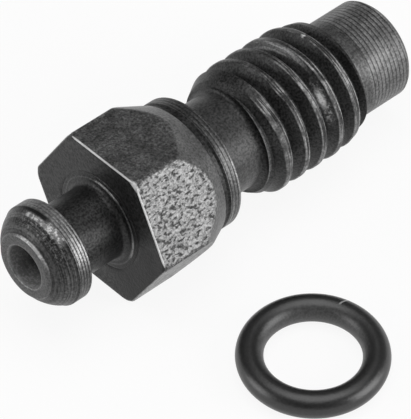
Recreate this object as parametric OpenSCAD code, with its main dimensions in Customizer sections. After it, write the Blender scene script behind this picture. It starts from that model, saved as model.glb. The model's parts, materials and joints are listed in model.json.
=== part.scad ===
// Bleeder screw of black-oxide steel with its rubber O-ring taken off and laid beside it.
// The screw lies at rest on a hex flat and a thread crest. Its axis runs along +X, tip at +X, +Z is up.

/* [Hose nipple] */
// Length of the nipple from its open end to the hex face
nipple_length = 6.55; // [5.2:0.05:10]
// Diameter of the rim at the open end
rim_d = 4.8; // [4.4:0.1:5.8]
// Diameter of the barb's land
barb_d = 7.3; // [6.4:0.1:8.4]
// Length of the cone that leads a hose on to the barb
barb_lead = 1.45; // [0.8:0.05:2.2]
// How far that lead swells past a straight cone
lead_swell = 0.16; // [0:0.02:0.2]
// Length of the barb's cylindrical land
barb_land = 1.15; // [0.6:0.05:1.6]
// Diameter of the waist between the barb and the hex
waist_d = 5.3; // [4.4:0.1:6]
// Radius of the fillet where the waist meets the hex face
waist_fillet = 0.4; // [0.1:0.05:0.8]

/* [Hex] */
// Width across the hex flats
hex_af = 10.85; // [10.2:0.05:13]
// Length of the hex corners between the front face and the taper
hex_length = 3.7; // [2:0.05:8]
// Angle of the turned taper behind the hex, measured from the axis
hex_taper_angle = 24.5; // [18:0.5:45]
// Depth of the chamfer turned on the front corners, along the radius
hex_front_chamfer = 0.3; // [0.1:0.05:0.6]

/* [Collar and neck] */
// Diameter of the collar that seats on the port
collar_d = 9.6; // [8.6:0.1:10]
// Length of the collar's land
collar_land = 0.95; // [0.4:0.05:2]
// Width of the shallow groove between the taper and the collar
relief_width = 0.6; // [0.2:0.05:0.8]
// Depth of that groove below the collar
relief_depth = 0.12; // [0.05:0.01:0.3]
// Diameter of the neck that the O-ring seats on
neck_d = 6.95; // [6.4:0.05:7.4]
// Length of the neck from the collar to the thread's shoulder
neck_length = 3.3; // [2:0.05:5]

/* [Thread] */
// Outer diameter of the thread
thread_d = 9.4; // [9.2:0.1:10]
// Pitch of the thread, right-handed
thread_pitch = 1.5875; // [1.4:0.0125:1.8]
// Length of the threaded shank from the neck to the tip
thread_length = 9.05; // [7:0.05:16]
// Depth of the thread groove
thread_depth = 0.9; // [0.6:0.02:0.96]
// Width of the flat left on the thread's crest
crest_width = 0.38; // [0.25:0.01:0.5]
// Diameter of the flat shoulder beside the neck, where the lead chamfer starts
lead_start_d = 8; // [7.6:0.1:8.8]
// Angle of the lead chamfer on the thread's start, measured from the axis
lead_angle = 40; // [25:1:60]
// Length over which the last crests are turned down towards the tip
end_taper_length = 1.75; // [0.5:0.05:3]
// How much smaller in radius the thread is where that taper ends
end_taper_drop = 0.42; // [0.1:0.02:0.6]
// Length of the steep face between the thread's end and the tip
end_face = 0.15; // [0.1:0.05:0.8]
// Angle about the axis at which the groove starts, from the underside
thread_start_angle = 31; // [0:1:359]

/* [Tip] */
// Diameter of the smooth tip
tip_d = 7.25; // [6.8:0.05:7.4]
// Length of the smooth tip
tip_length = 4.8; // [3.6:0.05:8]
// Chamfer on the end of the tip
tip_chamfer = 0.3; // [0.1:0.05:0.6]

/* [Bleed passage] */
// Diameter of the blind bore from the nipple
bore_d = 3.1; // [2:0.1:3.4]
// Diameter of the port drilled through one wall of the tip
port_d = 1.8; // [1:0.1:2.4]
// Distance of the port from the end of the tip
port_setback = 3.6; // [2.4:0.05:3.6]
// Angle of the port about the axis, from the underside
port_angle = 35; // [0:5:355]

/* [O-ring] */
// Section diameter of the O-ring
ring_section = 1.84; // [1.5:0.02:2]
// How much smaller the ring's hole is than the neck it stretches over
ring_stretch = 0.54; // [0.1:0.02:1]
// Distance of the ring's centre along the screw from the nipple's end
ring_along = 11.4; // [4:0.1:28]
// Distance of the ring's centre to the side of the screw's axis
ring_aside = 14.9; // [13:0.1:30]

/* [Hidden] */

// Facets of the turned surfaces where they are drawn as polygons
$fn = 96;
// Steps in one turn of the thread groove
turn_steps = 36;
// Angle between the two flanks of the thread
flank_angle = 60;
// Included angle of the drill point at the end of the bore
drill_angle = 118;
// Straight steps in the barb's swelling lead
lead_steps = 6;
// Small edge break on turned shoulders
edge_break = 0.1;
// How far cutters reach past the faces they cut
cut_past = 0.5;

// Stations along the axis, from the open end of the nipple
hex_front = nipple_length;
taper_front = hex_front + hex_length;
hex_corner_r = hex_af / 2 / cos(30);
collar_r = collar_d / 2;
taper_slope = tan(hex_taper_angle);
relief_front = taper_front + (hex_corner_r - collar_r) / taper_slope - relief_width / 2;
collar_front = relief_front + relief_width;
collar_back = collar_front + collar_land;
neck_end = collar_back + neck_length;
tip_front = neck_end + thread_length;
tip_end = tip_front + tip_length;
flat_end = taper_front + (hex_corner_r - hex_af / 2) / taper_slope;

// Radii of the barb, the thread and the tip
barb_r = barb_d / 2;
thread_r = thread_d / 2;
root_r = thread_r - thread_depth;
neck_r = neck_d / 2;
tip_r = tip_d / 2;
lead_start_r = lead_start_d / 2;
lead_end = neck_end + (thread_r - lead_start_r) / tan(lead_angle);
end_taper_back = tip_front - end_face;
end_taper_front = end_taper_back - end_taper_length;

// The thread groove's section and travel
root_width = thread_pitch - crest_width - 2 * thread_depth * tan(flank_angle / 2);
mouth_r = thread_r + cut_past / 2;
mouth_width = root_width + 2 * (mouth_r - root_r) * tan(flank_angle / 2);
groove_start = neck_end - cut_past;
groove_end = tip_front + mouth_width / 2;
groove_turns = (groove_end - groove_start) / thread_pitch;
groove_steps = ceil(groove_turns * turn_steps);

// Rest pose: the flat's back edge and the last full crest touch the surface
first_low_crest = groove_start + thread_pitch * (0.5 - thread_start_angle / 360);
low_crests = floor((end_taper_front - first_low_crest) / thread_pitch);
last_crest = first_low_crest + thread_pitch * low_crests + crest_width / 2;
rest_tilt = atan((hex_af / 2 - thread_r) / (last_crest - flat_end));
rest_height = flat_end * sin(rest_tilt) + hex_af / 2 * cos(rest_tilt);

// The ring's own radii, and the middle of the whole part
ring_hole_r = (neck_d - ring_stretch) / 2;
ring_r = ring_hole_r + ring_section / 2;
low_x = -rim_d / 2 * sin(rest_tilt);
high_x = tip_end * cos(rest_tilt) + (tip_r - tip_chamfer) * sin(rest_tilt);
low_y = -ring_aside - ring_r - ring_section / 2;
high_y = hex_corner_r;
mid_x = (low_x + high_x) / 2;
mid_y = (low_y + high_y) / 2;

// A point on the groove's cutter: step along the helix, radius and offset along the axis
function groove_point(step, r, offset) =
    let (turn = step / groove_steps * groove_turns)
    let (angle = thread_start_angle + 360 * turn)
    [r * cos(angle), r * sin(angle), groove_start + thread_pitch * turn + offset];

// One section of the cutter, narrow at the root and wide at the mouth
function groove_section(step) = [
    groove_point(step, root_r, -root_width / 2),
    groove_point(step, mouth_r, -mouth_width / 2),
    groove_point(step, mouth_r, mouth_width / 2),
    groove_point(step, root_r, root_width / 2)
];

// The swept cutter of the thread groove
module thread_groove() {
    points = [for (step = [0:groove_steps]) each groove_section(step)];
    sides = [for (step = [0:groove_steps - 1], side = [0:3])
        let (a = 4 * step + side, b = 4 * step + (side + 1) % 4)
        each [[a, b, b + 4], [a, b + 4, a + 4]]];
    last = 4 * groove_steps;
    caps = [[2, 1, 0], [3, 2, 0], [last, last + 1, last + 2], [last, last + 2, last + 3]];
    polyhedron(points, concat(sides, caps));
}

// A point on the barb's swelling lead, from the rim at 0 to the land at 1
function lead_point(share) = [
    rim_d / 2 + (barb_r - edge_break - rim_d / 2) * share + 4 * lead_swell * share * (1 - share),
    edge_break + (barb_lead - edge_break) * share
];

// Turned outline of the nipple, from the bore's edge to inside the hex
module nipple_outline() {
    waist_r = waist_d / 2;
    land_front = barb_lead;
    land_back = barb_lead + barb_land;
    step_back = land_back + (barb_r - waist_r) / 2;
    difference() {
        polygon([
            [0, 0],
            [rim_d / 2 - edge_break, 0],
            for (step = [0:lead_steps]) lead_point(step / lead_steps),
            [barb_r, land_front + edge_break],
            [barb_r, land_back - edge_break],
            [barb_r - edge_break, land_back],
            [waist_r, step_back],
            [waist_r, hex_front - waist_fillet],
            [waist_r + waist_fillet, hex_front - waist_fillet],
            [waist_r + waist_fillet, hex_front + edge_break],
            [0, hex_front + edge_break]
        ]);
        translate([waist_r + waist_fillet, hex_front - waist_fillet]) circle(waist_fillet);
    }
}

// Turned outline from inside the hex to the end of the tip
module shank_outline() {
    relief_r = collar_r - relief_depth;
    polygon([
        [0, taper_front],
        [relief_r, taper_front],
        [relief_r, collar_front - relief_depth],
        [collar_r, collar_front],
        [collar_r, collar_back - edge_break],
        [collar_r - edge_break, collar_back],
        [neck_r, collar_back],
        [neck_r, neck_end],
        [lead_start_r, neck_end],
        [thread_r, lead_end],
        [thread_r, end_taper_front],
        [thread_r - end_taper_drop, end_taper_back],
        [tip_r, tip_front],
        [tip_r, tip_end - tip_chamfer],
        [tip_r - tip_chamfer, tip_end],
        [0, tip_end]
    ]);
}

// Turned outline that trims the hex bar: a chamfer in front and a long taper behind
module hex_trim_outline() {
    taper_end_r = hex_corner_r - (relief_front - taper_front) * taper_slope;
    polygon([
        [0, hex_front],
        [hex_corner_r - hex_front_chamfer, hex_front],
        [hex_corner_r, hex_front + hex_front_chamfer * tan(30)],
        [hex_corner_r, taper_front],
        [taper_end_r, relief_front],
        [0, relief_front]
    ]);
}

// Blind bore with its drill point, and the port through one wall of the tip
module bleed_passage() {
    port_at = tip_end - port_setback;
    bore_end = port_at + port_d / 2;
    point_length = bore_d / 2 / tan(drill_angle / 2);
    translate([0, 0, -cut_past]) cylinder(d = bore_d, h = bore_end + cut_past);
    translate([0, 0, bore_end]) cylinder(d1 = bore_d, d2 = 0, h = point_length);
    translate([0, 0, port_at]) rotate([0, 90, port_angle]) cylinder(d = port_d, h = tip_r + cut_past);
}

// The screw: hose nipple, tapered hex, collar, neck, thread and tip, turned from one bar
module screw_body() {
    color("#3c3c3e")
    translate([-mid_x, -mid_y, rest_height])
    rotate([0, 90 + rest_tilt, 0])
    difference() {
        union() {
            rotate_extrude() nipple_outline();
            intersection() {
                translate([0, 0, hex_front]) rotate(30)
                    cylinder(r = hex_corner_r, h = relief_front - hex_front, $fn = 6);
                rotate_extrude() hex_trim_outline();
            }
            rotate_extrude() shank_outline();
        }
        thread_groove();
        bleed_passage();
    }
}

// The seal: a rubber ring that stretches over the neck, here lying flat
module o_ring() {
    color("#1c1c1e")
    translate([ring_along - mid_x, -ring_aside - mid_y, ring_section / 2])
    rotate_extrude() translate([ring_r, 0]) circle(d = ring_section, $fn = 48);
}

screw_body();
o_ring();
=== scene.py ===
"""A blackened steel bleeder screw lying beside its rubber O-ring on a white table.

Sizes are in millimetres unless a name says otherwise, and the meshes are brought to metres at the end.
"""
import json
from functools import reduce
from math import atan2, cos, degrees, hypot, pi, radians, sin, tan

import bmesh
import bpy
from mathutils import Matrix, Vector


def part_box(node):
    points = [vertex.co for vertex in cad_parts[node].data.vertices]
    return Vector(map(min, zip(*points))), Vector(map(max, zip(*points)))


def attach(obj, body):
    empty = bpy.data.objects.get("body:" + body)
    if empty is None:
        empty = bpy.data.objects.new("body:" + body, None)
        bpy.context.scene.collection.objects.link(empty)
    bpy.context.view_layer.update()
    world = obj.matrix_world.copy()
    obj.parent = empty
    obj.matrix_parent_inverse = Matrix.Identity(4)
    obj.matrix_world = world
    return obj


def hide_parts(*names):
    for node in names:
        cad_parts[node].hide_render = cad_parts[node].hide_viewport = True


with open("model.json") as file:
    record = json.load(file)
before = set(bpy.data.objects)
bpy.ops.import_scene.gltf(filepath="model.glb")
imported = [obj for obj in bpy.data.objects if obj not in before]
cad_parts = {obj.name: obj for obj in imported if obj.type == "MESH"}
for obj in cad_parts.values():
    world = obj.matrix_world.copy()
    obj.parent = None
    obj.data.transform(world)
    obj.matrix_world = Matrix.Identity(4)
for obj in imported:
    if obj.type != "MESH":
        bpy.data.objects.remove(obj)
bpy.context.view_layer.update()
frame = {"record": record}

# Screw body: the blank
# The real screw is turned in one piece from hex steel bar: a hose nipple with one barb, the tapered hex,
# a seating collar, the O-ring's neck, the shank that takes the thread, and a plain tip. Cutters leave fine
# grooves on the barb, the collar and the tip.
MM = 0.001
# Points closer than this are taken as one
SAME_POINT = 0.001
NIPPLE_LENGTH = 6.55
RIM_D = 4.8
RIM_ROUND = 0.2
RIM_STEP = 0.3
BARB_D = 7.3
BARB_LEAD = 1.45
LEAD_SWELL = 0.16
LEAD_STEPS = 20
# The rim's step takes the place of the lead's first points
LEAD_FIRST_STEP = 5
BARB_LAND = 1.15
WAIST_D = 5.3
WAIST_FILLET = 0.4
HEX_AF = 10.85
HEX_LENGTH = 3.7
HEX_TAPER_ANGLE = 24.5
HEX_FRONT_CHAMFER = 0.3
HEX_FRONT_ANGLE = 60
HEX_CORNER_WEAR = 0.03
HEX_EDGE_BLEND = 0.05
HEX_EDGE_ROUND = 0.07
FACE_BOSS_R = 3.27
FACE_BOSS_HEIGHT = 0.09
FACE_GROOVE_R = 3.66
COLLAR_D = 9.6
COLLAR_LAND = 0.95
RELIEF_WIDTH = 0.6
RELIEF_DEPTH = 0.12
NECK_D = 6.95
NECK_LENGTH = 3.3
NECK_FILLET = 0.15
SHOULDER_FILLET = 0.4
THREAD_D = 9.4
THREAD_LENGTH = 9.05
LEAD_START_D = 8
LEAD_ANGLE = 30
END_TAPER_LENGTH = 1.75
END_TAPER_DROP = 0.42
END_FACE = 0.2
END_FACE_SLANT = 0.03
TIP_D = 7.25
TIP_LENGTH = 4.8
TIP_CHAMFER = 0.3
TIP_PLAIN = 1.12
TIP_GROOVES = 10
TIP_MARK = 0.035
TOOL_MARK = 0.025
# Half the width of a tool groove, as a share of the grooves' pitch
TOOL_MARK_HALF = 0.35
EDGE_BREAK = 0.1
BORE_D = 3.1
BORE_MOUTH = 0.14
PORT_D = 1.8
PORT_SETBACK = 3.6
DRILL_ANGLE = 118
# Steps of the turned blank in one sixth of a turn: close together by the hex corners
SIXTH_TURN = ((4, 8), (4, 4), (44, 16), (4, 4), (4, 8))

hex_front = NIPPLE_LENGTH
taper_front = hex_front + HEX_LENGTH
corner_r = HEX_AF / 2 / cos(radians(30))
collar_r = COLLAR_D / 2
taper_slope = tan(radians(HEX_TAPER_ANGLE))
relief_front = taper_front + (corner_r - collar_r) / taper_slope - RELIEF_WIDTH / 2
collar_front = relief_front + RELIEF_WIDTH
collar_back = collar_front + COLLAR_LAND
neck_r = NECK_D / 2
neck_end = collar_back + NECK_LENGTH
thread_r = THREAD_D / 2
lead_start_r = LEAD_START_D / 2
lead_end = neck_end + (thread_r - lead_start_r) / tan(radians(LEAD_ANGLE))
tip_r = TIP_D / 2
tip_front = neck_end + THREAD_LENGTH
tip_end = tip_front + TIP_LENGTH
end_taper_back = tip_front - END_FACE
end_taper_front = end_taper_back - END_TAPER_LENGTH
end_face_back = end_taper_back + END_FACE_SLANT
land_back = BARB_LEAD + BARB_LAND
land_front = BARB_LEAD + EDGE_BREAK
barb_r = BARB_D / 2
waist_r = WAIST_D / 2
waist_front = land_back + (barb_r - waist_r) / 2
fillet_r = waist_r + WAIST_FILLET
boss_front = hex_front - FACE_BOSS_HEIGHT
face_groove_side = 2 * TOOL_MARK
relief_r = collar_r - RELIEF_DEPTH
bore_r = BORE_D / 2
port_at = tip_end - PORT_SETBACK
bore_end = port_at + PORT_D / 2


def straight(start, end, steps):
    """Points along a straight stretch of the outline, after its start."""
    return [tuple(a + (b - a) * step / steps for a, b in zip(start, end)) for step in range(1, steps + 1)]


def rounded(centre, radius, first, last, steps):
    """Points along a round stretch; angles are in degrees, from the radius towards the tip."""
    angles = [radians(first + (last - first) * step / steps) for step in range(steps + 1)]
    return [(centre[0] + radius * cos(angle), centre[1] + radius * sin(angle)) for angle in angles]


def grooved(radius, start, end, count, depth):
    """Points along a cylinder with fine tool grooves at an even pitch."""
    pitch = (end - start) / count
    points = []
    for index in range(count):
        middle = start + pitch * (index + 0.5)
        half = pitch * TOOL_MARK_HALF
        points += [(radius, middle - half), (radius - depth, middle), (radius, middle + half)]
    return points


def swelling_lead(share):
    """A point on the barb's lead, from the rim at 0 to the land at 1."""
    first_r = RIM_D / 2
    last_r = barb_r - EDGE_BREAK
    swell = 4 * LEAD_SWELL * share * (1 - share)
    return (first_r + (last_r - first_r) * share + swell, EDGE_BREAK + (BARB_LEAD - EDGE_BREAK) * share)


outline = [(0, bore_end + bore_r / tan(radians(DRILL_ANGLE / 2))), (bore_r, bore_end)]
outline += straight((bore_r, bore_end), (bore_r, 2 * BORE_MOUTH), 12)
outline += rounded((bore_r + BORE_MOUTH, BORE_MOUTH), BORE_MOUTH, 180, 270, 4)
outline += rounded((RIM_D / 2 - RIM_ROUND, RIM_ROUND), RIM_ROUND, 270, 360, 6)
outline += [(RIM_D / 2, RIM_STEP), (RIM_D / 2 + EDGE_BREAK / 2, RIM_STEP + EDGE_BREAK / 2)]
outline += [swelling_lead(step / LEAD_STEPS) for step in range(LEAD_FIRST_STEP, LEAD_STEPS + 1)]
outline += grooved(barb_r, land_front, land_back - EDGE_BREAK, 4, TOOL_MARK)
outline += rounded((barb_r - EDGE_BREAK, land_back - EDGE_BREAK), EDGE_BREAK, 0, 60, 4)
outline += straight((barb_r - EDGE_BREAK, land_back), (waist_r, waist_front), 5)
outline += straight((waist_r, waist_front), (waist_r, boss_front - WAIST_FILLET), 10)
outline += rounded((fillet_r, boss_front - WAIST_FILLET), WAIST_FILLET, 180, 90, 8)
outline += rounded((FACE_BOSS_R - FACE_BOSS_HEIGHT, hex_front), FACE_BOSS_HEIGHT, 270, 350, 6)
outline += straight((FACE_BOSS_R, hex_front), (FACE_GROOVE_R - face_groove_side, hex_front), 3)
outline += [(FACE_GROOVE_R, hex_front + TOOL_MARK), (FACE_GROOVE_R + face_groove_side, hex_front)]
outline += straight(outline[-1], (corner_r - HEX_EDGE_ROUND, hex_front), 8)
outline += rounded((corner_r - HEX_EDGE_ROUND, hex_front + HEX_EDGE_ROUND), HEX_EDGE_ROUND, 270, 360, 4)
outline += straight((corner_r, hex_front + HEX_EDGE_ROUND), (corner_r, taper_front), 14)
outline += straight((corner_r, taper_front), (corner_r, relief_front), 50)
outline += straight((relief_r, relief_front), (relief_r, collar_front - RELIEF_DEPTH), 3)
outline += grooved(collar_r, collar_front, collar_back - EDGE_BREAK, 3, TOOL_MARK)
outline += rounded((collar_r - EDGE_BREAK, collar_back - EDGE_BREAK), EDGE_BREAK, 0, 90, 4)
outline += rounded((neck_r + NECK_FILLET, collar_back + NECK_FILLET), NECK_FILLET, 270, 180, 4)
outline += straight((neck_r, collar_back + NECK_FILLET), (neck_r, neck_end - SHOULDER_FILLET), 8)
outline += rounded((neck_r + SHOULDER_FILLET, neck_end - SHOULDER_FILLET), SHOULDER_FILLET, 180, 90, 6)
outline += straight((neck_r + SHOULDER_FILLET, neck_end), (lead_start_r, neck_end), 4)
outline += straight((lead_start_r, neck_end), (thread_r, lead_end), 10)
outline += straight((thread_r, lead_end), (thread_r, end_taper_front), 30)
outline += straight((thread_r, end_taper_front), (thread_r - END_TAPER_DROP, end_taper_back), 8)
outline += straight((thread_r - END_TAPER_DROP, end_taper_back), (tip_r, end_face_back), 4)
outline += straight((tip_r, end_face_back), (tip_r, tip_front + TIP_PLAIN), 6)
outline += grooved(tip_r, tip_front + TIP_PLAIN, tip_end - TIP_CHAMFER, TIP_GROOVES, TIP_MARK)
outline += straight((tip_r, tip_end - TIP_CHAMFER), (tip_r - TIP_CHAMFER, tip_end), 4)
outline += straight((tip_r - TIP_CHAMFER, tip_end), (0, tip_end), 10)

blank = bmesh.new()
corner_line = Matrix.Rotation(radians(30), 3, "Z")
points = [blank.verts.new(corner_line @ Vector((radius, 0, along))) for radius, along in outline]
swept = points + [blank.edges.new(pair) for pair in zip(points, points[1:])]
for side in range(6):
    for turn, steps in SIXTH_TURN:
        spun = bmesh.ops.spin(
            blank, geom=swept, cent=(0, 0, 0), axis=(0, 0, 1), angle=radians(turn), steps=steps)
        swept = spun["geom_last"]
bmesh.ops.remove_doubles(blank, verts=blank.verts, dist=SAME_POINT)


def soft_min(a, b, blend):
    """The smaller of two sizes, rounded over where they are close."""
    overlap = max(blend - abs(a - b), 0) / blend
    return min(a, b) - overlap * overlap * blend / 4


def hex_reach(angle, along):
    """How far the hex reaches from the axis at an angle about it and a station along it."""
    from_flat = (angle + 30) % 60 - 30
    flat = HEX_AF / 2 / cos(radians(from_flat))
    front = corner_r - HEX_FRONT_CHAMFER + (along - hex_front) * tan(radians(HEX_FRONT_ANGLE))
    taper = corner_r - (along - taper_front) * taper_slope
    reach = soft_min(flat, corner_r - HEX_CORNER_WEAR, HEX_EDGE_BLEND)
    reach = soft_min(reach, front, HEX_EDGE_BLEND)
    return soft_min(reach, taper, HEX_EDGE_BLEND)


# The bar's six flats: the round head of the blank is drawn in to the hex, its front face with it
for vert in blank.verts:
    radius = hypot(vert.co.x, vert.co.y)
    on_side = radius > corner_r - SAME_POINT
    at_front = hex_front - SAME_POINT < vert.co.z < hex_front + HEX_EDGE_ROUND
    if on_side or (at_front and radius > FACE_BOSS_R + SAME_POINT):
        reach = hex_reach(degrees(atan2(vert.co.y, vert.co.x)), vert.co.z)
        drawn = FACE_BOSS_R + (radius - FACE_BOSS_R) * (reach - FACE_BOSS_R) / (corner_r - FACE_BOSS_R)
        vert.co.x *= drawn / radius
        vert.co.y *= drawn / radius
bmesh.ops.recalc_face_normals(blank, faces=blank.faces)

# Screw body: the thread and the port
# The right-hand thread is one helical groove cut round the shank, with a narrow root and rounded crest
# edges. The port is a hole drilled through one wall of the tip, into the bore.
THREAD_PITCH = 1.5875
THREAD_DEPTH = 0.9
CREST_WIDTH = 0.38
CREST_ROUND = 0.05
# How far the root's corners are cut off, as a share of half its width
ROOT_ROUND = 0.4
FLANK_ANGLE = 60
THREAD_START_ANGLE = 31
TURN_STEPS = 120
CUT_PAST = 0.5
PORT_ANGLE = 35
PORT_STEPS = 48
# Turns the port's cutter about itself, so that none of its edges meets a line of the blank
PORT_FACET_TURN = 2.3
# The first crests are worn to a slanting flat, at this angle about the axis and this far from it
WORN_ANGLE = 205
WORN_R = 4.54
WORN_SLOPE = 0.07
WORN_BLEND = 0.3
# The wear goes no further round than where the cosine of the angle from its middle is this
WORN_END = 0.5
# Edges that turn by more than this many degrees stay sharp
SHARP_ANGLE = 34

flank_slope = tan(radians(FLANK_ANGLE / 2))
root_r = thread_r - THREAD_DEPTH
crest_gap = (THREAD_PITCH - CREST_WIDTH) / 2
root_gap = crest_gap - THREAD_DEPTH * flank_slope
groove_start = neck_end - CUT_PAST
groove_turns = (tip_front + crest_gap + CUT_PAST / 4 - groove_start) / THREAD_PITCH
one_side = [
    (root_r, root_gap * ROOT_ROUND),
    (root_r + root_gap * ROOT_ROUND, root_gap),
    (thread_r - 2 * CREST_ROUND, crest_gap - 2 * CREST_ROUND * flank_slope),
    (thread_r - CREST_ROUND / 2, crest_gap + CREST_ROUND / 4),
    (thread_r, crest_gap + CREST_ROUND),
    (thread_r + CUT_PAST / 2, crest_gap + CUT_PAST / 3),
]
section = [(radius, -gap) for radius, gap in one_side] + one_side[::-1]

for vert in blank.verts:
    radius = hypot(vert.co.x, vert.co.y)
    from_worn = cos(atan2(vert.co.y, vert.co.x) - radians(WORN_ANGLE))
    on_shank = lead_end - crest_gap < vert.co.z < end_taper_front and radius > root_r
    if on_shank and from_worn > WORN_END:
        worn_reach = (WORN_R + (vert.co.z - lead_end) * WORN_SLOPE) / from_worn
        worn = soft_min(radius, worn_reach, WORN_BLEND) / radius
        vert.co.x *= worn
        vert.co.y *= worn

groove = bmesh.new()
start_line = Matrix.Rotation(radians(THREAD_START_ANGLE), 3, "Z")
ring = [groove.verts.new(start_line @ Vector((radius, 0, groove_start + gap))) for radius, gap in section]
groove_face = groove.faces.new(ring)
groove_steps = round(groove_turns * TURN_STEPS)
bmesh.ops.spin(
    groove, geom=ring + list(groove_face.edges) + [groove_face], cent=(0, 0, 0), axis=(0, 0, 1),
    angle=2 * pi * groove_turns, steps=groove_steps, dvec=(0, 0, THREAD_PITCH * groove_turns / groove_steps))
bmesh.ops.recalc_face_normals(groove, faces=groove.faces)

port = bmesh.new()
port_reach = tip_r + CUT_PAST
port_place = Matrix.Translation((0, 0, port_at)) @ Matrix.Rotation(radians(PORT_ANGLE), 4, "Z")
port_place @= Matrix.Rotation(radians(90), 4, "Y") @ Matrix.Translation((0, 0, port_reach / 2))
port_place @= Matrix.Rotation(radians(PORT_FACET_TURN), 4, "Z")
bmesh.ops.create_cone(
    port, cap_ends=True, segments=PORT_STEPS, radius1=PORT_D / 2, radius2=PORT_D / 2, depth=port_reach,
    matrix=port_place)


def mesh_object(shape, name):
    """Turns a finished bmesh into an object of the scene."""
    mesh = bpy.data.meshes.new(name)
    shape.to_mesh(mesh)
    shape.free()
    made = bpy.data.objects.new(name, mesh)
    bpy.context.scene.collection.objects.link(made)
    return made


screw = mesh_object(blank, "bleeder_screw")
cutters = [mesh_object(groove, "thread_groove"), mesh_object(port, "bleed_port")]
for cutter in cutters:
    cut = screw.modifiers.new(cutter.name, "BOOLEAN")
    cut.operation = "DIFFERENCE"
    cut.solver = "EXACT"
    cut.object = cutter
bpy.context.view_layer.update()
cut_mesh = bpy.data.meshes.new_from_object(screw.evaluated_get(bpy.context.evaluated_depsgraph_get()))
screw.modifiers.clear()
screw.data = cut_mesh
for cutter in cutters:
    bpy.data.objects.remove(cutter)

# The screw lies where the record's mounts say: the barb gives its place and the tip its direction
mounts = {mount["name"]: mount for mount in frame["record"]["mounts"]}
axis = Vector(mounts["tip"]["axis"])
nipple_end = Vector(mounts["hose_barb"]["pos_m"]) - axis * (BARB_LEAD + BARB_LAND / 2) * MM
underside = Vector((axis.z, 0, -axis.x))
lay_screw = Matrix((underside, Vector((0, 1, 0)), axis)).transposed().to_4x4()
lay_screw.translation = nipple_end
screw.data.transform(lay_screw @ Matrix.Scale(MM, 4))
screw.data.shade_smooth()
screw.data.set_sharp_from_angle(angle=radians(SHARP_ANGLE))

# Screw body: blackened steel
# The black oxide is thin and mottled, and rubbed grey where hands and tools reach it. It has worn through to
# bare steel on the barb, the hex edges, the collar and the crests, and most flats are bare and pitted. On the
# rim, the land, the collar and the crests the wear is stronger on the lit side, as a painted highlight, and
# two bright patches on the thread are painted highlights. Part of the hex's front face is painted shade, an
# arc on the barb is a painted shadow, and the bore's wall is painted pale for the light it catches.
OXIDE_DARK = (0.012, 0.012, 0.012, 1)
OXIDE_PALE = (0.085, 0.085, 0.085, 1)
RUBBED_OXIDE = (0.21, 0.21, 0.21, 1)
BORE_PAINTED_LIGHT = (0.34, 0.34, 0.34, 1)
STEEL_DARK = (0.20, 0.20, 0.20, 1)
STEEL_PALE = (0.42, 0.42, 0.42, 1)
STEEL_BRIGHT = (0.75, 0.75, 0.75, 1)
STEEL_ROUGHNESS = (0.36, 0.44)
STEEL_SPECULAR = 0.35
STEEL_RELIEF_STRENGTH = 0.35
STEEL_RELIEF_DEPTH = 0.05
# How metallic the oxide is, and what polish, rubbing, scuffs and the neck's dull skin add to that
OXIDE_SHINE = 0.6
POLISHED_SHINE = 0.4
RUBBED_SHINE = -0.2
SCUFFED_SHINE = -0.55
NECK_SHINE = -0.28
# How fine each noise is, per millimetre
SPECKLE_PER_MM = 4.5
PITS_PER_MM = 4.3
FLAT_BORDER_PER_MM = 2.2
CREST_PATCHES_PER_MM = 1.3
BROAD_PATCHES_PER_MM = 0.9
TURNED_LINES_PER_MM = 7.0
STRIPES_PER_MM = 9.0
# Arcs of wear, painted highlight and painted shade: first and last angle about the axis from the underside,
# and how soft the ends are. On the rim, the land, the collar and the crests the arc is the lit side, where
# the wear is also a painted highlight
ARCS = {
    "rim": (158, 227, 22),
    "knock on top": (158, 206, 8),
    "knock near": (190, 216, 6),
    "lead specks": (160, 232, 15),
    "painted shadow on barb": (145, 190, 8),
    "bare and lit land": (206, 252, 12),
    "land top": (110, 198, 12),
    "rubbed land": (100, 205, 15),
    "boss top": (172, 208, 8),
    "boss low": (258, 292, 8),
    "front corner": (206, 214, 3),
    "painted front shade": (262, 335, 15),
    "taper top": (160, 205, 15),
    "collar": (225, 320, 25),
    "neck": (240, 330, 25),
    "shoulder edge": (208, 285, 12),
    "shoulder band": (216, 268, 18),
    "crests": (192, 318, 20),
    "broad_thread_highlight": (142, 200, 16),
    "flank_highlight": (222, 240, 9),
    "round flank highlight": (214, 256, 10),
    "tip": (195, 320, 25),
}
# Where the thread's two painted highlights lie, as windows along the axis and of the radius
BROAD_HIGHLIGHT_ALONG = (22.4, 23.5, 0.15)
FLANK_HIGHLIGHT_ALONG = (23.0, 23.8, 0.1)
FLANK_HIGHLIGHT_R = (3.9, 4.3, 0.18)
ROUND_FLANK_HIGHLIGHT_R = (3.95, 4.45, 0.15)
# How bare each flat and its front edge are, by the angle of the flat's middle from the underside
FLAT_WEAR = {0: 0.6, 60: 0.7, 120: 0.35, 180: 0.1, 240: 0.9, 300: 1.0}
FLAT_EDGE_WEAR = {0: 0.3, 60: 0.5, 120: 0.4, 180: 0.95, 240: 1.0, 300: 0.5}
# Small dents down to bright steel: angle about the axis, radius, station along the axis, and size
DENTS = (
    (174, 4.66, 25.20, 0.22),
    (166, 4.62, 22.85, 0.20),
    (226, 5.00, 12.75, 0.12),
)


def feed(socket, value):
    """Links an input socket to another socket, or sets it to a plain value."""
    if isinstance(value, bpy.types.NodeSocket):
        socket.id_data.links.new(value, socket)
    else:
        socket.default_value = value


def add_node(tree, kind, sockets=None, **settings):
    """Adds a node, sets its options and feeds its input sockets."""
    made = tree.nodes.new(kind)
    for name, value in settings.items():
        setattr(made, name, value)
    for key, value in (sockets or {}).items():
        feed(made.inputs[key], value)
    return made


def tree_of(*values):
    """The node tree of the sockets among some values."""
    return next(value.id_data for value in values if isinstance(value, bpy.types.NodeSocket))


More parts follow.
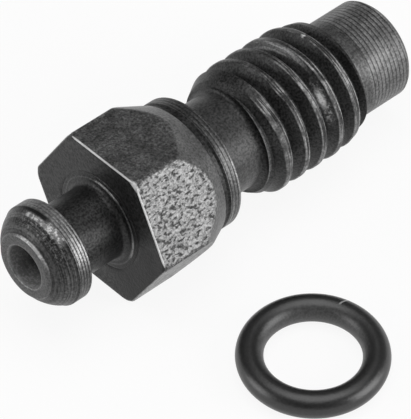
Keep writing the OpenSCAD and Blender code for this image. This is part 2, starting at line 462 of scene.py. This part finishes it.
def calc(operation, *values):
    """One step of arithmetic between sockets and numbers."""
    sockets = dict(enumerate(values))
    return add_node(tree_of(*values), "ShaderNodeMath", sockets, operation=operation).outputs[0]


def measure(operation, *places):
    """A length, a distance or a reach, worked out from places."""
    sockets = dict(enumerate(places))
    return add_node(tree_of(*places), "ShaderNodeVectorMath", sockets, operation=operation).outputs["Value"]


def spread(mask, low, high):
    """Stretches a mask from 0 and 1 to other ends."""
    return calc("MULTIPLY_ADD", mask, high - low, low)


def product(*values):
    """Multiplies masks together."""
    return reduce(lambda a, b: calc("MULTIPLY", a, b), values)


def strongest(*values):
    """The highest of several masks."""
    return reduce(lambda a, b: calc("MAXIMUM", a, b), values)


def fade(value, low, high):
    """A soft step: 0 up to low, 1 from high on."""
    sockets = {"Value": value, "From Min": low, "From Max": high}
    made = add_node(tree_of(value), "ShaderNodeMapRange", sockets, interpolation_type="SMOOTHSTEP")
    return made.outputs["Result"]


def between(value, low, high, soft):
    """A soft window: 1 from low to high, and 0 outside."""
    rise = fade(value, low - soft, low + soft)
    fall = fade(value, high + soft, high - soft)
    return calc("MULTIPLY", rise, fall)


def blend_colours(share, first, second):
    """Mixes two colours."""
    sockets = {0: share, 6: first, 7: second}
    return add_node(tree_of(share), "ShaderNodeMix", sockets, data_type="RGBA").outputs[2]


def noise(place, per_mm, detail=3, roughness=0.5):
    """Cloudy noise about 0.5."""
    sockets = {"Vector": place, "Scale": per_mm, "Detail": detail, "Roughness": roughness}
    return add_node(tree_of(place), "ShaderNodeTexNoise", sockets).outputs["Fac"]


def stretched(x, y, z):
    """A place made of three values."""
    return add_node(tree_of(x, y, z), "ShaderNodeCombineXYZ", {"X": x, "Y": y, "Z": z}).outputs["Vector"]


def new_group(name, inputs, outputs):
    """Starts a node group with named value sockets, and a vector called Place."""
    group = bpy.data.node_groups.new(name, "ShaderNodeTree")
    group.interface.new_socket("Place", in_out="INPUT", socket_type="NodeSocketVector")
    for label, value in inputs.items():
        made = group.interface.new_socket(label, in_out="INPUT", socket_type="NodeSocketFloat")
        made.default_value = value
    for label in outputs:
        group.interface.new_socket(label, in_out="OUTPUT", socket_type="NodeSocketFloat")
    return group, add_node(group, "NodeGroupInput").outputs, add_node(group, "NodeGroupOutput").inputs


def empty_tree(owner):
    """Gives a material or a world an empty node tree."""
    owner.use_nodes = True
    owner.node_tree.nodes.clear()
    return owner.node_tree


def own_place(tree, origin, turn):
    """Places on a piece in millimetres, in a frame of its own."""
    sockets = {
        "Vector": add_node(tree, "ShaderNodeTexCoord").outputs["Object"],
        "Location": origin,
        "Rotation": turn,
        "Scale": (MM, MM, MM),
    }
    return add_node(tree, "ShaderNodeMapping", sockets, vector_type="TEXTURE").outputs["Vector"]


def about_axis(place):
    """The three parts of a place, its distance from the axis, and its angle about it in degrees."""
    parts = add_node(tree_of(place), "ShaderNodeSeparateXYZ", {"Vector": place}).outputs
    distance = measure("LENGTH", stretched(parts["X"], parts["Y"], 0.0))
    return parts, distance, calc("DEGREES", calc("ARCTAN2", parts["Y"], parts["X"]))


def on_circle(turned, distance=1, station=0):
    """A point at an angle about the axis, a distance from it and a station along it."""
    return (distance * cos(radians(turned)), distance * sin(radians(turned)), station)


# Uneven cloudy patches with a finer grain over them, each from 0 to 1
mottle, given, gives = new_group("mottle", {"Patches per mm": 0.6, "Grain per mm": 6}, ("Patches", "Grain"))
for label, rate, detail in (("Patches", "Patches per mm", 4), ("Grain", "Grain per mm", 3)):
    feed(gives[label], fade(noise(given["Place"], given[rate], detail), 0.3, 0.7))

steel = bpy.data.materials.new("black_oxide_steel")
tree = empty_tree(steel)
place = own_place(tree, nipple_end, lay_screw.to_euler())
parts, radius, angle = about_axis(place)
along = parts["Z"]
angle = calc("WRAP", angle, 360, 0)
where = {"along": along, "radius": radius, "angle": angle}
mottle_inputs = {"Place": place, "Patches per mm": 0.55, "Grain per mm": 6.5}
cloud = add_node(tree, "ShaderNodeGroup", mottle_inputs, node_tree=mottle).outputs
patches = cloud["Patches"]
grain = cloud["Grain"]
speckle = fade(noise(place, SPECKLE_PER_MM, 4, 0.65), 0.48, 0.60)


def within(**windows):
    """A mask from soft windows on the station along the axis, the radius or the angle about the axis."""
    return product(*(between(where[name], *window) for name, window in windows.items()))


# Fine lines round the axis: they follow the turned cylinders along the axis, and the turned faces outwards
line_place = stretched(
    calc("MULTIPLY", parts["X"], 0.3), calc("MULTIPLY", parts["Y"], 0.3),
    calc("MULTIPLY", calc("ADD", along, radius), TURNED_LINES_PER_MM))
turned_lines = fade(noise(line_place, 1.0), 0.38, 0.62)

# The barb: a bright rim, worn and with a painted highlight on its lit side, a speckled lead with a knocked
# edge on top, an arc of painted shadow where the land starts on top, and a land bare towards the light, where
# the bare steel is partly a painted highlight
# The rim's edge is worn bright, most on its lit side, where the bright steel is also a painted highlight
rim_wear_and_highlight = product(
    within(radius=(RIM_D / 2 - 0.1, RIM_D / 2 + 0.04, 0.035), along=(-0.2, 0.22, 0.08)),
    spread(within(angle=ARCS["rim"]), 0.05, 1.0), spread(speckle, 0.65, 1.0))
bore_edge = product(within(radius=(bore_r - 0.02, bore_r + BORE_MOUTH, 0.03), along=(-0.2, 0.2, 0.1)), 0.35)
knocked_edge = product(
    spread(speckle, 0.4, 1.0), fade(radius, 3.1, 3.3),
    strongest(within(angle=ARCS["knock on top"], along=(BARB_LEAD - 0.4, BARB_LEAD - 0.1, 0.08)),
              within(angle=ARCS["knock near"], along=(BARB_LEAD - 0.3, BARB_LEAD + 0.12, 0.06))))
lead_specks = product(within(angle=ARCS["lead specks"], along=(0.6, 1.3, 0.2)), speckle, grain, 0.8)
# Painted shadow: an arc where the land starts on top is painted darker oxide, and is kept from wear and
# rubbing
painted_shadow_arc = within(angle=ARCS["painted shadow on barb"], along=(BARB_LEAD - 0.04, BARB_LEAD + 0.2, 0.06))
on_ridges = fade(radius, barb_r - 0.022, barb_r - 0.004)
# The land's bare steel is stronger on its lit side, where it is partly a painted highlight
land_wear_and_highlight = product(
    on_ridges, within(along=(BARB_LEAD - 0.05, land_back, 0.06)), spread(turned_lines, 0.65, 1.0),
    spread(within(angle=ARCS["bare and lit land"]), 0.35, 1.0), spread(painted_shadow_arc, 1.0, 0.0))
land_top = product(land_wear_and_highlight, within(angle=ARCS["land top"]))

# The collar's ridges, worn and with a painted highlight on their lit side, the boss round the waist, and the
# hex corners
collar_wear_and_highlight = product(
    fade(radius, collar_r - 0.024, collar_r - 0.004), within(along=(collar_front, collar_back, 0.05)),
    spread(within(angle=ARCS["collar"]), 0.2, 0.85), spread(turned_lines, 0.4, 1.0))
boss_arcs = strongest(within(angle=ARCS["boss top"]), within(angle=ARCS["boss low"]), 0.15)
boss_wear = product(
    within(radius=(FACE_BOSS_R - 0.12, FACE_BOSS_R + 0.02, 0.04), along=(boss_front, hex_front, 0.04)),
    boss_arcs, 0.9)
corner_wear = product(
    fade(radius, corner_r - 0.2, corner_r - 0.06), within(along=(hex_front - 0.1, taper_front, 0.3)),
    spread(speckle, 0.1, 0.5))
front_corner_wear = product(
    fade(radius, corner_r - 0.42, corner_r - 0.32), 0.8,
    within(angle=ARCS["front corner"], along=(hex_front - 0.1, hex_front + 0.2, 0.06)))

# The crests, found from the distance to the middle of the groove on the thread's helix
turns_at_start = THREAD_START_ANGLE / 360 - groove_start / THREAD_PITCH
turns = calc("MULTIPLY_ADD", along, 1 / THREAD_PITCH, turns_at_start)
turns = calc("MULTIPLY_ADD", angle, -1 / 360, turns)
from_groove = calc("MULTIPLY", calc("WRAP", turns, 0.5, -0.5), THREAD_PITCH)
from_crest = calc("SUBTRACT", THREAD_PITCH / 2, calc("ABSOLUTE", from_groove))
crest_half = calc("MULTIPLY_ADD", radius, -flank_slope, CREST_WIDTH / 2 + thread_r * flank_slope)
inside_crest = calc("SUBTRACT", crest_half, from_crest)
lead_slope = tan(radians(LEAD_ANGLE))
lead_cone = calc("MULTIPLY_ADD", along, lead_slope, lead_start_r - neck_end * lead_slope)
end_slope = END_TAPER_DROP / END_TAPER_LENGTH
end_cone = calc("MULTIPLY_ADD", along, -end_slope, thread_r + end_taper_front * end_slope)
shank_r = calc("MINIMUM", calc("MINIMUM", lead_cone, end_cone), thread_r)
worn_out = measure("DOT_PRODUCT", place, on_circle(WORN_ANGLE))
worn_plane = calc("MULTIPLY_ADD", along, WORN_SLOPE, WORN_R - lead_end * WORN_SLOPE)
below_crest = calc("MINIMUM", calc("SUBTRACT", shank_r, radius), calc("SUBTRACT", worn_plane, worn_out))
crest_edge = product(fade(below_crest, 0.09, 0.03), fade(inside_crest, 0.085, 0.02))
stripe_place = stretched(
    calc("MULTIPLY", from_groove, STRIPES_PER_MM), calc("MULTIPLY", angle, 0.03),
    calc("MULTIPLY", along, 0.4))
stripes = fade(noise(stripe_place, 1.0, 2), 0.47, 0.58)
crest_stripes = product(
    fade(below_crest, 0.11, 0.05), stripes,
    strongest(fade(along, lead_end - 0.1, lead_end + 0.2), fade(angle, 196, 206)))
first_ridge = product(fade(along, lead_end + 0.2, lead_end - 0.1), fade(angle, 208, 192))
shoulder_edge = product(
    within(along=(neck_end - 0.02, neck_end + 0.05, 0.025), angle=ARCS["shoulder edge"]),
    within(radius=(lead_start_r - 0.04, lead_start_r + 0.06, 0.03)), 0.6)
shoulder_band = product(
    within(along=(neck_end, neck_end + 0.1, 0.1), angle=ARCS["shoulder band"]),
    fade(radius, lead_start_r - 0.06, lead_start_r), spread(grain, 0.35, 0.75))
# The crests are worn bright, and brighter on their lit side, where the wear is also a painted highlight
crest_wear_and_highlight = product(
    within(along=(neck_end + 0.68, end_taper_back - 0.5, 0.08)),
    strongest(crest_edge, product(crest_stripes, 0.9)),
    spread(fade(noise(place, CREST_PATCHES_PER_MM), 0.38, 0.62), 0.35, 1.2),
    spread(within(angle=ARCS["crests"]), 0.3, 1.0), spread(first_ridge, 1.0, 0.0))
# A broad painted highlight on the thread towards the top, painted as rubbed and scuffed steel
broad_thread_highlight = product(within(angle=ARCS["broad_thread_highlight"], along=BROAD_HIGHLIGHT_ALONG), fade(radius, 3.9, 4.5))
thread_wear_and_highlight = strongest(crest_wear_and_highlight, shoulder_edge, shoulder_band, product(broad_thread_highlight, stripes, 0.75))
# A painted highlight: a bright patch on a thread flank, painted as pale bright steel
flank_highlight = strongest(
    product(within(angle=ARCS["flank_highlight"], radius=FLANK_HIGHLIGHT_R, along=FLANK_HIGHLIGHT_ALONG), spread(grain, 0.85, 1.4)),
    product(within(angle=ARCS["round flank highlight"], radius=ROUND_FLANK_HIGHLIGHT_R, along=FLANK_HIGHLIGHT_ALONG),
            spread(speckle, 0.15, 0.7)))

# Dents, each about a point on the surface, over the painted highlight on the thread's flank
dents_and_flank_highlight = flank_highlight
for dent_angle, dent_r, dent_along, dent_size in DENTS:
    away = measure("DISTANCE", place, on_circle(dent_angle, dent_r, dent_along))
    ragged = calc("MULTIPLY_ADD", grain, -0.35 * dent_size, away)
    dents_and_flank_highlight = calc("MAXIMUM", fade(ragged, dent_size, -0.1 * dent_size), dents_and_flank_highlight)

# Bare flats with a ragged border, pitted where the bar rusted, and the worn line along each flat's front edge
pit_place = stretched(parts["X"], parts["Y"], calc("MULTIPLY", along, 0.6))
pits = fade(noise(pit_place, PITS_PER_MM, 2, 0.5), 0.36, 0.52)
border = noise(place, FLAT_BORDER_PER_MM)
flat_r = HEX_AF / 2
half_flat = flat_r * tan(radians(30))
flat_wear = 0.0
flat_edge_wear = 0.0
for flat_angle, bareness in FLAT_WEAR.items():
    facing = on_circle(flat_angle)
    out = measure("DOT_PRODUCT", place, facing)
    on_flat = fade(calc("MULTIPLY_ADD", grain, 0.04, out), flat_r - 0.06, flat_r - 0.01)
    aside = measure("DOT_PRODUCT", place, (-facing[1], facing[0], 0))
    from_corner = calc("SUBTRACT", half_flat, calc("ABSOLUTE", aside))
    clear_of_corner = fade(calc("MULTIPLY_ADD", border, -0.8, from_corner), -0.3, -0.18)
    flat_wear = calc("MULTIPLY_ADD", product(on_flat, clear_of_corner), bareness, flat_wear)
    at_edge = fade(out, flat_r - 0.11, flat_r - 0.05)
    flat_edge_wear = calc("MULTIPLY_ADD", at_edge, FLAT_EDGE_WEAR[flat_angle], flat_edge_wear)
on_hex = within(along=(hex_front - 0.1, relief_front, 0.02))
flat_skin = calc("SUBTRACT", 1.0, flat_wear)
flat_wear = product(flat_wear, on_hex, spread(pits, 0.0, 0.63))
flat_edge_wear = product(
    flat_edge_wear, on_hex, fade(along, hex_front + 0.14, hex_front + 0.07), spread(patches, 0.75, 1.0))

# Where the oxide is rubbed grey: the rim and lead, the taper, the neck, the flats and the tip's ridges, with
# a share of the broad painted highlight on the thread
broad = noise(place, BROAD_PATCHES_PER_MM)
taper_r = calc("MULTIPLY_ADD", along, -taper_slope, corner_r + taper_front * taper_slope)
on_taper = product(
    fade(calc("SUBTRACT", taper_r, radius), 0.08, 0.02), within(along=(taper_front, relief_front, 0.05)))
plain_end = tip_front + TIP_PLAIN
rubbed_rim = product(fade(along, 0.35, 0.25), 0.3)
rubbed_lead = product(
    within(along=(0.3, BARB_LEAD, 0.05)), turned_lines, spread(painted_shadow_arc, 0.48, 0.0),
    spread(fade(along, 0.5, 1.0), 0.5, 1.0))
rubbed_land = product(
    within(along=(BARB_LEAD + 0.1, land_back, 0.06), angle=ARCS["rubbed land"]), spread(painted_shadow_arc, 0.5, 0.0))
rubbed_taper = strongest(
    product(on_taper, spread(patches, 0.35, 0.65)),
    product(on_taper, within(angle=ARCS["taper top"]),
            fade(along, relief_front - 0.2, taper_front + 0.9), 1.2))
rubbed_neck = product(
    within(along=(collar_back + 0.2, neck_end - 0.5, 0.3)), spread(turned_lines, 0.7, 1.0),
    spread(within(angle=ARCS["neck"]), 0.08, 0.28))
rubbed_flats = product(
    on_hex, fade(along, hex_front + 0.05, hex_front + 0.1), flat_skin, spread(speckle, 0.25, 0.65),
    spread(fade(broad, 0.35, 0.6), 0.55, 1.15))
rubbed_tip = strongest(
    product(within(along=(tip_front, plain_end, 0.1)), spread(turned_lines, 0.25, 0.45)),
    product(fade(along, tip_front, tip_front + 0.05), 0.12))
tip_ridges = product(
    fade(radius, tip_r - TIP_MARK, tip_r - TIP_MARK * 0.3),
    fade(calc("MULTIPLY_ADD", patches, 0.5, along), plain_end, plain_end + 0.6),
    spread(fade(broad, 0.35, 0.65), 0.65, 1.1), spread(within(angle=ARCS["tip"]), 0.95, 1.0))
rubbed = strongest(
    rubbed_rim, rubbed_lead, rubbed_land, rubbed_taper, rubbed_neck, rubbed_flats, product(broad_thread_highlight, 0.4),
    rubbed_tip, tip_ridges)

# Scuffs and painted highlights show as pale dull steel and polish as a mirror, over the oxide's own mottle
# and its painted shade
scuffs_and_highlights = strongest(
    thread_wear_and_highlight, flat_edge_wear, front_corner_wear, boss_wear, rim_wear_and_highlight, knocked_edge, land_top, dents_and_flank_highlight)
polish_and_highlights = strongest(bore_edge, lead_specks, land_wear_and_highlight, collar_wear_and_highlight, corner_wear, flat_wear)
bright = strongest(
    dents_and_flank_highlight, flat_edge_wear, front_corner_wear, product(strongest(knocked_edge, rim_wear_and_highlight), 0.75))
# Painted shade: part of the hex's front face is painted darker oxide, where the barb shades it
painted_front_shade = within(angle=ARCS["painted front shade"], along=(hex_front - 0.1, hex_front + 0.04, 0.02))
oxide_and_shade_share = product(
    spread(patches, 0.35, 0.62), spread(grain, 0.0, 1.1), spread(strongest(painted_front_shade, painted_shadow_arc), 1.0, 0.1))
oxide = blend_colours(oxide_and_shade_share, OXIDE_DARK, OXIDE_PALE)
skin = blend_colours(product(rubbed, spread(grain, 0.5, 1.2)), oxide, RUBBED_OXIDE)
bare = blend_colours(bright, blend_colours(grain, STEEL_DARK, STEEL_PALE), STEEL_BRIGHT)
clean = blend_colours(strongest(scuffs_and_highlights, polish_and_highlights), skin, bare)
# The bore's wall is painted pale and speckled for the light it catches, and is not metallic
in_bore = product(fade(radius, bore_r + 0.03, bore_r), fade(along, tip_end - 0.5, tip_end - 1.0))
bore_painted_light = product(in_bore, spread(speckle, 0.5, 1.0))
on_neck = within(along=(collar_back + 0.2, neck_end - 0.3, 0.2))
shine = calc("MULTIPLY_ADD", polish_and_highlights, POLISHED_SHINE, OXIDE_SHINE)
for mask, gain in ((rubbed, RUBBED_SHINE), (scuffs_and_highlights, SCUFFED_SHINE), (on_neck, NECK_SHINE)):
    shine = calc("MULTIPLY_ADD", mask, gain, shine)
relief = add_node(tree, "ShaderNodeBump", {
    "Height": calc("MULTIPLY_ADD", pits, flat_wear, calc("MULTIPLY", grain, 0.4)),
    "Strength": STEEL_RELIEF_STRENGTH,
    "Distance": STEEL_RELIEF_DEPTH * MM,
})
shader = add_node(tree, "ShaderNodeBsdfPrincipled", {
    "Base Color": blend_colours(bore_painted_light, clean, BORE_PAINTED_LIGHT),
    "Metallic": product(shine, calc("SUBTRACT", 1.0, in_bore)),
    "Roughness": spread(patches, *STEEL_ROUGHNESS),
    "Specular IOR Level": STEEL_SPECULAR,
    "Normal": relief.outputs["Normal"],
})
add_node(tree, "ShaderNodeOutputMaterial", {"Surface": shader.outputs["BSDF"]})

screw.data.materials.clear()
screw.data.materials.append(steel)
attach(screw, "root")
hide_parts("screw_body")

# O-ring
# A moulded nitrile rubber ring, taken off the neck and laid flat on the table. The mould's halves meet
# round its inside and outside, where a faint line is left.
RING_SECTION = 1.84
RING_STRETCH = 0.54
MOULD_LINE = 0.012
SECTION_STEPS = 64
RING_STEPS = 180
RUBBER_DARK = (0.003, 0.003, 0.003, 1)
RUBBER_PALE = (0.012, 0.012, 0.012, 1)
RUBBER_BLOOM_AND_SHEEN = (0.07, 0.07, 0.07, 1)
NICK_GREY = (0.3, 0.3, 0.3, 1)
RUBBER_ROUGHNESS = (0.31, 0.5)
RUBBER_SPECULAR = 0.75
RUBBER_RELIEF_STRENGTH = 0.3
RUBBER_RELIEF_DEPTH = 0.01
# A nick across the top: windows in degrees round the ring and round its section, and how it slants
NICK_ROUND_RING = (11.8, 13.4, 0.4)
NICK_ROUND_SECTION = (50, 96, 6)
NICK_SLANT = -0.0825

ring_low, ring_high = (Vector(corner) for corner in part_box("o_ring"))
ring_middle = (ring_low + ring_high) / 2
ring_r = (NECK_D - RING_STRETCH + RING_SECTION) / 2
ring_shape = bmesh.new()
made = bmesh.ops.create_circle(ring_shape, segments=SECTION_STEPS, radius=RING_SECTION / 2)
for vert in made["verts"]:
    if abs(vert.co.y) < SAME_POINT:
        vert.co.x *= 1 + MOULD_LINE / RING_SECTION
stand_up = Matrix.Translation((ring_r, 0, 0)) @ Matrix.Rotation(radians(90), 4, "X")
bmesh.ops.transform(ring_shape, matrix=stand_up, verts=made["verts"])
bmesh.ops.spin(
    ring_shape, geom=ring_shape.verts[:] + ring_shape.edges[:], cent=(0, 0, 0), axis=(0, 0, 1),
    angle=2 * pi, steps=RING_STEPS, use_merge=True)
bmesh.ops.remove_doubles(ring_shape, verts=ring_shape.verts, dist=SAME_POINT)
bmesh.ops.recalc_face_normals(ring_shape, faces=ring_shape.faces)
ring_piece = mesh_object(ring_shape, "rubber_ring")
ring_piece.data.transform(Matrix.Translation(ring_middle) @ Matrix.Scale(MM, 4))
ring_piece.data.shade_smooth()

rubber = bpy.data.materials.new("black_rubber")
tree = empty_tree(rubber)
place = own_place(tree, ring_middle, (0, 0, 0))
parts, radius, round_ring = about_axis(place)
mottle_inputs = {"Place": place, "Patches per mm": 0.5, "Grain per mm": 7.0}
cloud = add_node(tree, "ShaderNodeGroup", mottle_inputs, node_tree=mottle).outputs
# The inner side is paler and rougher: partly a bloom on the rubber, partly a painted sheen for the light its
# inner wall reflects
bloom_and_sheen = product(fade(radius, ring_r - 0.3, ring_r - 0.8), spread(cloud["Grain"], 0.4, 1.0))
round_section = calc("DEGREES", calc("ARCTAN2", parts["Z"], calc("SUBTRACT", radius, ring_r)))
slanting = calc("MULTIPLY_ADD", round_section, NICK_SLANT, round_ring)
nick = product(between(slanting, *NICK_ROUND_RING), between(round_section, *NICK_ROUND_SECTION))
clean_rubber = blend_colours(cloud["Grain"], RUBBER_DARK, RUBBER_PALE)
rubber_with_bloom_and_sheen = blend_colours(bloom_and_sheen, clean_rubber, RUBBER_BLOOM_AND_SHEEN)
relief = add_node(tree, "ShaderNodeBump", {
    "Height": cloud["Grain"],
    "Strength": RUBBER_RELIEF_STRENGTH,
    "Distance": RUBBER_RELIEF_DEPTH * MM,
})
shader = add_node(tree, "ShaderNodeBsdfPrincipled", {
    "Base Color": blend_colours(nick, rubber_with_bloom_and_sheen, NICK_GREY),
    "Roughness": spread(strongest(bloom_and_sheen, product(cloud["Patches"], 0.3)), *RUBBER_ROUGHNESS),
    "Specular IOR Level": RUBBER_SPECULAR,
    "Normal": relief.outputs["Normal"],
})
add_node(tree, "ShaderNodeOutputMaterial", {"Surface": shader.outputs["BSDF"]})
ring_piece.data.materials.append(rubber)
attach(ring_piece, "root")
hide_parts("o_ring")

# Table and surroundings
# A white table that runs on into a white room. The eye and the mirror-like steel see both as plain white,
# and a share of the table stays an ordinary surface, so the screw and the ring keep a soft shadow.
TABLE_SIZE_M = 4.0
TABLE_SHADOW_SHARE = 0.10
TABLE_GREY = (0.9, 0.9, 0.9, 1)
WHITE = (1, 1, 1, 1)
ROOM_LIGHT = 0.16
# The white backdrop stands this many degrees above the table, and fades into the dim room by its top
BACKDROP_EDGE = 5
BACKDROP_TOP = 16


def seen_directly(tree):
    """1 for rays from the eye and for mirror-like or see-through rays, otherwise 0."""
    path = add_node(tree, "ShaderNodeLightPath").outputs
    return strongest(path["Is Camera Ray"], path["Is Glossy Ray"], path["Is Transmission Ray"])


table_shape = bmesh.new()
bmesh.ops.create_grid(table_shape, x_segments=1, y_segments=1, size=TABLE_SIZE_M / 2)
table = mesh_object(table_shape, "table")
table_paint = bpy.data.materials.new("white_table")
tree = empty_tree(table_paint)
matt = add_node(tree, "ShaderNodeBsdfDiffuse", {"Color": TABLE_GREY}).outputs["BSDF"]
plain = add_node(tree, "ShaderNodeEmission", {"Color": WHITE, "Strength": 1.0}).outputs["Emission"]
share = product(seen_directly(tree), 1 - TABLE_SHADOW_SHARE)
mixed = add_node(tree, "ShaderNodeMixShader", {0: share, 1: matt, 2: plain})
add_node(tree, "ShaderNodeOutputMaterial", {"Surface": mixed.outputs["Shader"]})
table.data.materials.append(table_paint)

room = bpy.data.worlds.new("white_room")
tree = empty_tree(room)
direction = add_node(tree, "ShaderNodeTexCoord").outputs["Generated"]
height = add_node(tree, "ShaderNodeSeparateXYZ", {"Vector": direction}).outputs["Z"]
low_down = fade(height, sin(radians(BACKDROP_TOP)), sin(radians(BACKDROP_EDGE)))
strength = strongest(product(low_down, seen_directly(tree)), ROOM_LIGHT)
backdrop = add_node(tree, "ShaderNodeBackground", {"Color": WHITE, "Strength": strength})
add_node(tree, "ShaderNodeOutputWorld", {"Surface": backdrop.outputs["Background"]})
bpy.context.scene.world = room

# Camera
# It stands where the photograph was taken from: above the nipple's end, looking down along the screw.
# The measured point is a place on the screw's axis, and its pixel is where the photograph shows it.
IMAGE_WIDTH = 411
IMAGE_HEIGHT = 419
FOCAL_PX = 4000
VIEW_AZIMUTH = -43.551
VIEW_ELEVATION = 47.043
VIEW_DISTANCE = 268.09
MEASURED_ALONG = 24
MEASURED_PIXEL = (291.09, 98.0)
SENSOR_WIDTH = 36
CLIP_START_M = 0.01

azimuth = radians(VIEW_AZIMUTH)
elevation = radians(VIEW_ELEVATION)
right = Vector((cos(azimuth), sin(azimuth), 0))
forward = Vector((-sin(azimuth) * cos(elevation), cos(azimuth) * cos(elevation), -sin(elevation)))
up = right.cross(forward)
measured_point = nipple_end + axis * MEASURED_ALONG * MM
px_size = VIEW_DISTANCE / FOCAL_PX * MM
middle_pixel = Vector(((IMAGE_WIDTH - 1) / 2, (IMAGE_HEIGHT - 1) / 2))
from_middle = (Vector(MEASURED_PIXEL) - middle_pixel) * px_size
eye = measured_point - forward * VIEW_DISTANCE * MM - right * from_middle.x + up * from_middle.y
camera_data = bpy.data.cameras.new("camera")
camera_data.sensor_width = SENSOR_WIDTH
camera_data.lens = SENSOR_WIDTH * FOCAL_PX / IMAGE_HEIGHT
camera_data.clip_start = CLIP_START_M
camera = bpy.data.objects.new("camera", camera_data)
camera.matrix_world = Matrix((right, up, -forward)).transposed().to_4x4()
camera.location = eye
bpy.context.scene.collection.objects.link(camera)
bpy.context.scene.camera = camera

# Lamps
# Three soft boxes as in a small product studio: a broad key to the right of the camera, a smaller one to
# the left, and a wide one overhead. Each has its direction from the part, its size in metres and how bright
# its face is.
LAMP_DISTANCE_M = 0.4
LAMPS = {
    "key": {"azimuth": 302, "elevation": 21, "width": 0.30, "height": 0.28, "brightness": 4.0},
    "side": {"azimuth": 150, "elevation": 17, "width": 0.20, "height": 0.22, "brightness": 3.5},
    "overhead": {"azimuth": 0, "elevation": 89, "width": 0.36, "height": 0.36, "brightness": 2.05},
}
for name, lamp in LAMPS.items():
    lamp_data = bpy.data.lights.new(name, "AREA")
    lamp_data.shape = "RECTANGLE"
    lamp_data.size = lamp["width"]
    lamp_data.size_y = lamp["height"]
    lamp_data.energy = lamp["brightness"] * pi * lamp["width"] * lamp["height"]
    turn = radians(lamp["azimuth"])
    rise = radians(lamp["elevation"])
    towards = Vector((cos(turn) * cos(rise), sin(turn) * cos(rise), sin(rise)))
    lamp_object = bpy.data.objects.new(name, lamp_data)
    lamp_object.location = towards * LAMP_DISTANCE_M
    lamp_object.rotation_euler = towards.to_track_quat("Z", "Y").to_euler()
    bpy.context.scene.collection.objects.link(lamp_object)

bpy.context.scene.view_settings.view_transform = "Standard"
